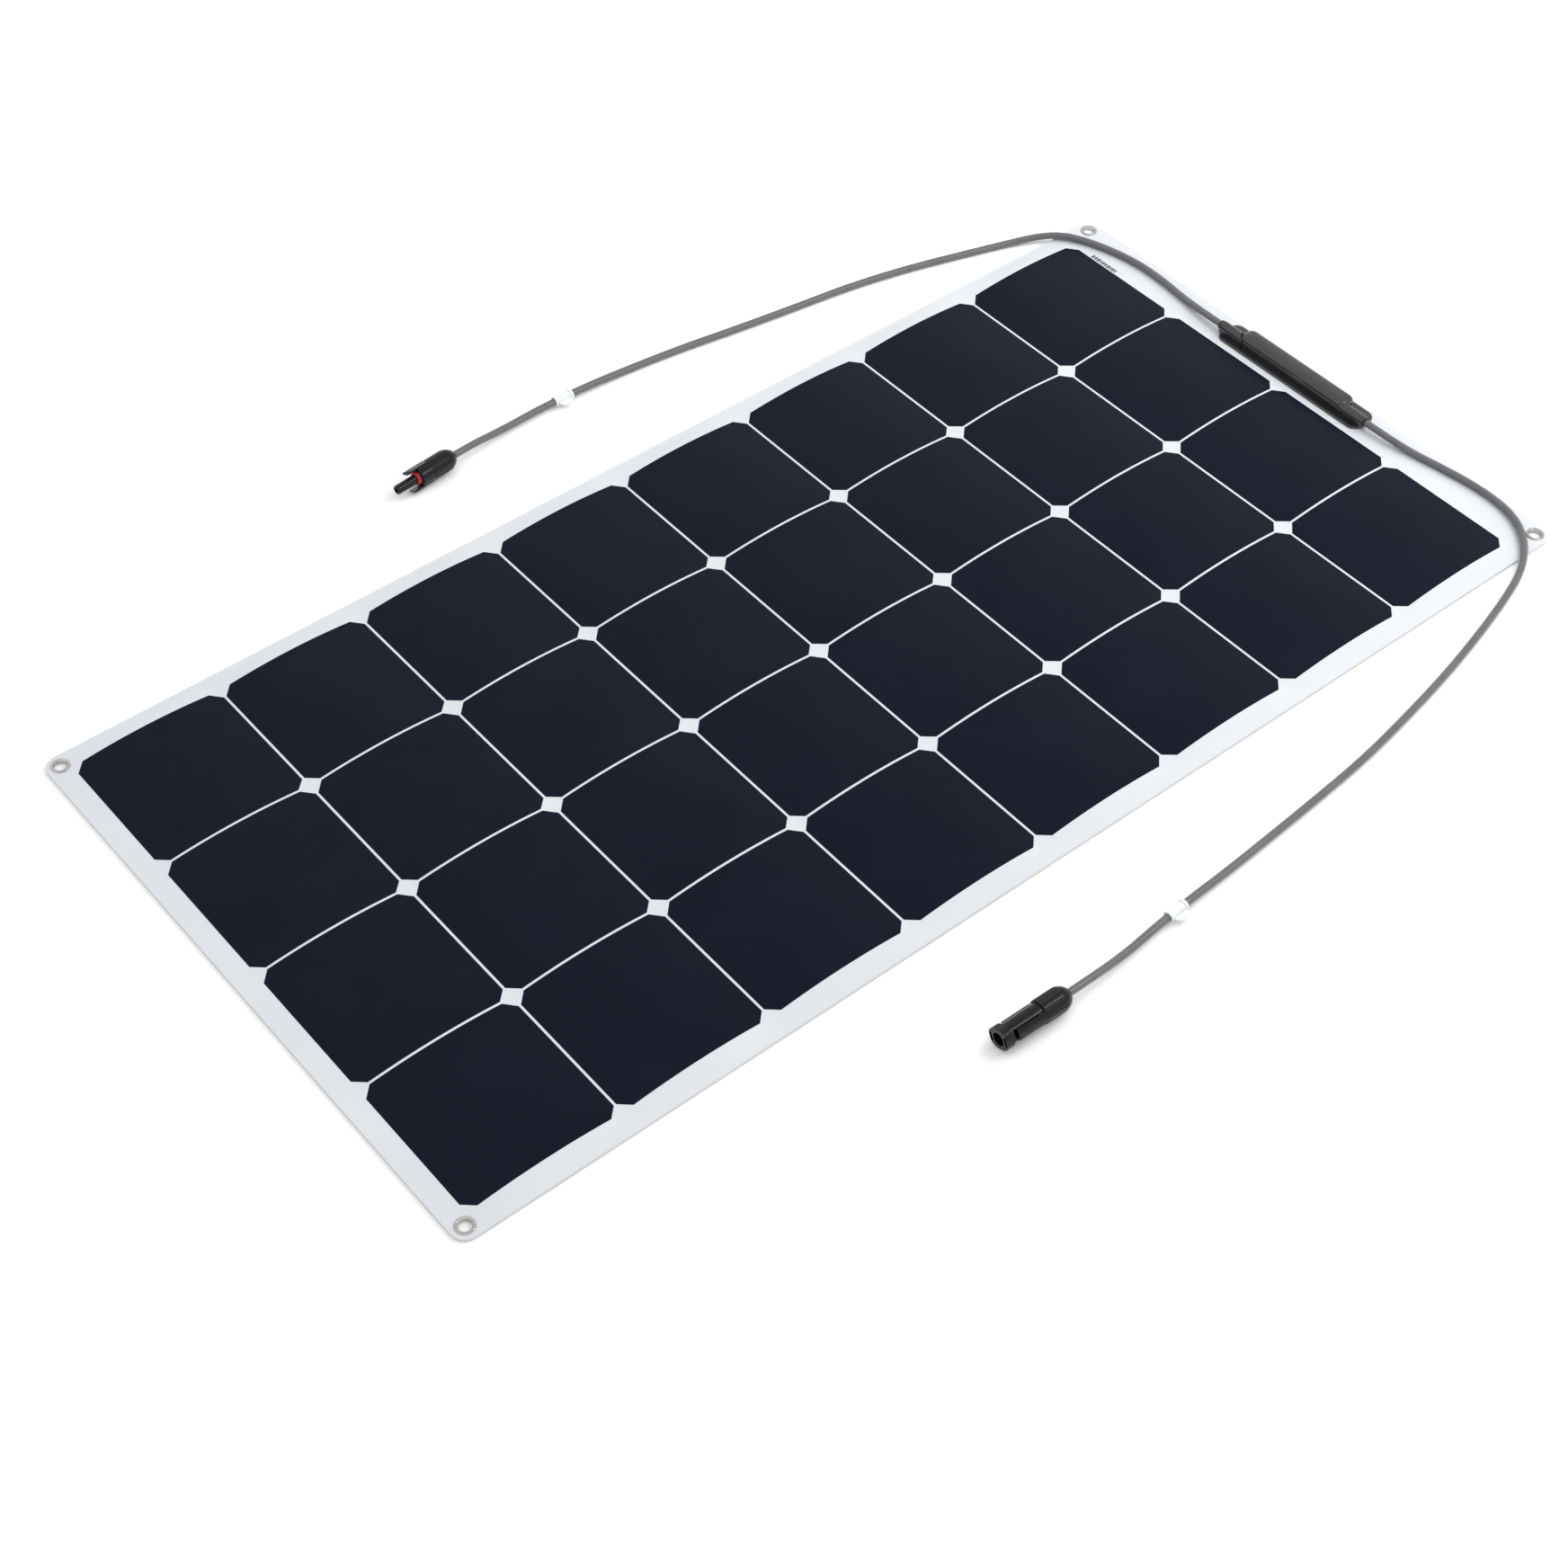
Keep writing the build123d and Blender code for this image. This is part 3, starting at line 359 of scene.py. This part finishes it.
def arch(x, y):
    """How far the sheet stands up: an arch over each column of cells, gone in the margins."""
    along = (x - FIELD_X0 + PITCH / 2 - CELL / 2) / PITCH
    if not 0.0 < along < COLUMNS:
        return 0.0
    across = 2 * (along - math.floor(along)) - 1
    margin = (abs(y) + FIELD_Y0) / (SHEET_HIGH.y + FIELD_Y0)
    fade = 1.0 if margin <= 0 else max(0.0, 1 - margin) ** 2 * (1 + 2 * margin)
    return ARCH_HEIGHT * (1 - across * across) * fade


def slices_x():
    """Where the sheet is cut across: close together over the cells, wide apart in the end margins."""
    start = FIELD_X0 - (PITCH - CELL) / 2
    end = start + COLUMNS * PITCH
    xs = [SHEET_LOW.x + PLAIN_END_SLICE * i for i in (1, 2)]
    xs += [start + PITCH * i / SLICE_STEPS for i in range(COLUMNS * SLICE_STEPS)]
    xs += [end + (SHEET_HIGH.x - end) * i / BOX_END_SLICES for i in range(BOX_END_SLICES)]
    return xs


def slices_y():
    """Where the sheet is cut along: at its middle, and close together in the side margins."""
    margin = SHEET_HIGH.y + FIELD_Y0
    rows = [-FIELD_Y0 + margin * i / MARGIN_ROWS for i in range(MARGIN_ROWS)]
    return sorted([0.0] + rows + [-y for y in rows])


def slice_at(bm, place, normal):
    geometry = bm.verts[:] + bm.edges[:] + bm.faces[:]
    bmesh.ops.bisect_plane(bm, geom=geometry, plane_co=place, plane_no=normal, dist=SLICE_SNAP)


def thicken(bm, low, high, ground=0.0):
    """Turns flat faces into a solid between two heights that follows the arches."""
    made = bmesh.ops.extrude_face_region(bm, geom=bm.faces[:], use_keep_orig=True)
    raised = {v for v in made["geom"] if isinstance(v, bmesh.types.BMVert)}
    for vert in bm.verts:
        vert.co.z = ground + arch(vert.co.x, vert.co.y) + (high if vert in raised else low)
    bmesh.ops.recalc_face_normals(bm, faces=bm.faces[:])


def soften(piece, width, angle, segments):
    """Rounds edges that turn by more than an angle, in degrees; the overlap clamp may hold it far smaller."""
    edge = piece.modifiers.new("edge", "BEVEL")
    edge.width = width
    edge.segments = segments
    edge.limit_method = "ANGLE"
    edge.angle_limit = math.radians(angle)


def link(name, bm, material, smooth=True):
    """The finished mesh as an object in the scene."""
    mesh = bpy.data.meshes.new(name)
    bm.to_mesh(mesh)
    bm.free()
    mesh.materials.append(material)
    obj = bpy.data.objects.new(name, mesh)
    bpy.context.scene.collection.objects.link(obj)
    if smooth:
        for face in mesh.polygons:
            face.use_smooth = True
        mesh.set_sharp_from_angle(angle=SHARP_ANGLE)
    return obj


def rounded_rectangle(centre, half_x, half_y, radius, steps):
    """One loop of points round a rectangle with round corners."""
    points = []
    for quarter in range(4):
        sx = 1 if quarter in (0, 3) else -1
        sy = 1 if quarter in (0, 1) else -1
        for i in range(steps + 1):
            angle = math.pi / 2 * (quarter + i / steps)
            points.append((
                centre[0] + sx * (half_x - radius) + radius * math.cos(angle),
                centre[1] + sy * (half_y - radius) + radius * math.sin(angle)))
    return points


def circle(centre, radius, steps):
    turns = [2 * math.pi * i / steps for i in range(steps)]
    return [(centre[0] + radius * math.cos(a), centre[1] + radius * math.sin(a)) for a in turns]


def loop_of(bm, points):
    verts = [bm.verts.new((x, y, 0.0)) for x, y in points]
    return [bm.edges.new((a, b)) for a, b in zip(verts, verts[1:] + verts[:1])]


def sheet_outline():
    """The sheet's outline, as one loop. Its points are single precision, which its mesh depends on."""
    points = []
    for quarter in range(4):
        sx = 1 if quarter in (0, 3) else -1
        sy = 1 if quarter in (0, 1) else -1
        centre = Vector((sx * (SHEET_HIGH.x - SHEET_CORNER), sy * (SHEET_HIGH.y - SHEET_CORNER)))
        for i in range(CORNER_STEPS + 1):
            angle = math.pi / 2 * (quarter + i / CORNER_STEPS)
            points.append(centre + SHEET_CORNER * Vector((math.cos(angle), math.sin(angle))))
    return points


def layer_piece(name, low, high, material, bevel):
    """A layer of the laminate between two heights, with its eyelet holes, laid over the arches."""
    bm = bmesh.new()
    edges = loop_of(bm, sheet_outline())
    for spot in EYELET_SPOTS:
        edges += loop_of(bm, circle(spot, EYELET_HOLE, EYELET_STEPS))
    bmesh.ops.triangle_fill(bm, edges=edges, use_dissolve=False, use_beauty=True)
    for x in slices_x():
        slice_at(bm, (x, 0, 0), (1, 0, 0))
    for y in slices_y():
        slice_at(bm, (0, y, 0), (0, 1, 0))
    bmesh.ops.recalc_face_normals(bm, faces=bm.faces[:])
    if bm.faces[:][0].normal.z < 0:
        bmesh.ops.reverse_faces(bm, faces=bm.faces[:])
    thicken(bm, low, high)
    piece = link(name, bm, material)
    soften(piece, bevel, 60, 2)
    return piece


def cell_patch(bm, x0, y0):
    """One cut-corner cell laid over the arches, a hair proud of the film."""
    c = CELL_CORNER
    corners = [(c, 0), (CELL - c, 0), (CELL, c), (CELL, CELL - c),
               (CELL - c, CELL), (c, CELL), (0, CELL - c), (0, c)]
    part = bmesh.new()
    part.faces.new([part.verts.new((x0 + x, y0 + y, 0.0)) for x, y in corners])
    for i in range(1, CELL_STEPS):
        slice_at(part, (x0 + CELL * i / CELL_STEPS, 0, 0), (1, 0, 0))
    thicken(part, -CELL_SINK, CELL_STAND, SHEET_TOP)
    mesh = bpy.data.meshes.new("patch")
    part.to_mesh(mesh)
    part.free()
    bm.from_mesh(mesh)
    bpy.data.meshes.remove(mesh)


def make_laminate():
    """The back layers, the front layers and the four strings of cells."""
    base = layer_piece("laminate_back", SHEET_LOW.z, LAYER_SEAM, MATERIALS["back"], 0.15 * MM)
    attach(base, "root")
    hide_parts("back_sheet", "stiffener_board")
    front = layer_piece("laminate_front", LAYER_SEAM, SHEET_TOP, MATERIALS["film"], 0.25 * MM)
    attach(front, "root")
    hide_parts("rear_encapsulant", "front_encapsulant", "front_film")
    for string in range(STRINGS):
        bm = bmesh.new()
        for column in range(COLUMNS):
            cell_patch(bm, FIELD_X0 + column * PITCH, FIELD_Y0 + string * PITCH)
        cells = link(f"cells_{string + 1}", bm, MATERIALS["silicon"])
        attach(cells, "root")
        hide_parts(f"cell_string_{string + 1}")


# ---------------------------------------------------------------- label and lid
def add_box(bm, low, high):
    """A box between two corners."""
    made = bmesh.ops.create_cube(bm, size=1.0)
    low, high = Vector(low), Vector(high)
    for vert in made["verts"]:
        vert.co = Vector((v + 0.5) * (b - a) + a for v, a, b in zip(vert.co, low, high))


def make_label_print():
    """Plain bars of uneven width where the label carries its print; no lettering."""
    low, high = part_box("serial_label")
    bm = bmesh.new()
    y = low.y + PRINT_START
    for width, gap in PRINT_BARS:
        top = (high.x - PRINT_INSET, y + width * MM, high.z + PRINT_STAND)
        add_box(bm, (low.x + PRINT_INSET, y, high.z - PRINT_SINK), top)
        y += (width + gap) * MM
    bars = link("label_print", bm, MATERIALS["print"], smooth=False)
    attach(bars, "root")


def make_lid():
    """The lid as one smooth loaf: upright walls, then a dome that rounds in from every side."""
    low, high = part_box("junction_lid")
    centre = (low + high) / 2
    half = (high - low) / 2
    levels = [(0.0, low.z), (0.0, LID_SHOULDER)]
    for i in range(1, LID_RINGS + 1):
        share = 0.5 - 0.5 * math.cos(math.pi * i / LID_RINGS * LID_SWEEP)
        rise = (1 - (1 - share) ** LID_POWER) ** (1 / LID_POWER)
        levels.append((share, LID_SHOULDER + (high.z - LID_SHOULDER) * rise))
    bm = bmesh.new()
    loops = []
    for share, z in levels:
        half_x = half.x * (1 - share)
        half_y = half.y - half.x * share
        points = rounded_rectangle(centre, half_x, half_y, half_x * LID_CORNER_SHARE, LID_CORNER_STEPS)
        loops.append([bm.verts.new((x, y, z)) for x, y in points])
    for lower, upper in zip(loops, loops[1:]):
        for a in range(len(lower)):
            b = (a + 1) % len(lower)
            bm.faces.new((lower[a], lower[b], upper[b], upper[a]))
    bm.faces.new(loops[-1])
    bm.faces.new(loops[0][::-1])
    lid = link("lid_loaf", bm, MATERIALS["box"])
    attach(lid, "root")
    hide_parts("junction_lid")


# ---------------------------------------------------------------- stage
FLOOR_HALF = 12.0
FLOOR_DROP = 0.2 * MM
STUDIO_STRENGTH = 0.9


def area_light(name, place, aim, size, power, glossy=False):
    """A soft rectangular light, seen in reflections only where glossy is set."""
    data = bpy.data.lights.new(name, "AREA")
    data.shape = "RECTANGLE"
    data.size, data.size_y = size
    data.energy = power
    lamp = bpy.data.objects.new(name, data)
    bpy.context.scene.collection.objects.link(lamp)
    lamp.visible_glossy = glossy
    lamp.location = place
    lamp.rotation_euler = (Vector(aim) - Vector(place)).to_track_quat("-Z", "Y").to_euler()


def make_stage():
    bm = bmesh.new()
    bmesh.ops.create_grid(bm, x_segments=1, y_segments=1, size=FLOOR_HALF)
    pale = (0.95, 0.95, 0.95, 1.0)
    mat = shader("floor_white", Roughness=0.9, Specular_IOR_Level=0.1, Base_Color=pale)[0]
    floor = link("floor", bm, mat, smooth=False)
    floor.location.z = -FLOOR_DROP
    world = bpy.data.worlds.new("studio")
    world.use_nodes = True
    background = world.node_tree.nodes["Background"]
    background.inputs["Color"].default_value = (1.0, 1.0, 1.0, 1.0)
    background.inputs["Strength"].default_value = STUDIO_STRENGTH
    bpy.context.scene.world = world
    bpy.context.scene.view_settings.view_transform = "Standard"
    area_light("overhead", (0.3, 0.2, 2.6), (0, 0, 0), (2.6, 2.6), 10.0)
    area_light("box_end", (1.6, -0.1, 1.2), (0.35, 0, 0), (1.4, 1.4), 18.0)
    area_light("side", (1.0, -1.05, 1.65), (0, 0, 0), (0.5, 0.5), 5.0, glossy=True)


make_camera()
make_materials()
dress_nodes()
make_lead("far_lead", "lead_far", FAR_ROUTE)
make_lead("near_lead", "lead_near", NEAR_ROUTE)
make_laminate()
make_label_print()
make_lid()
make_stage()
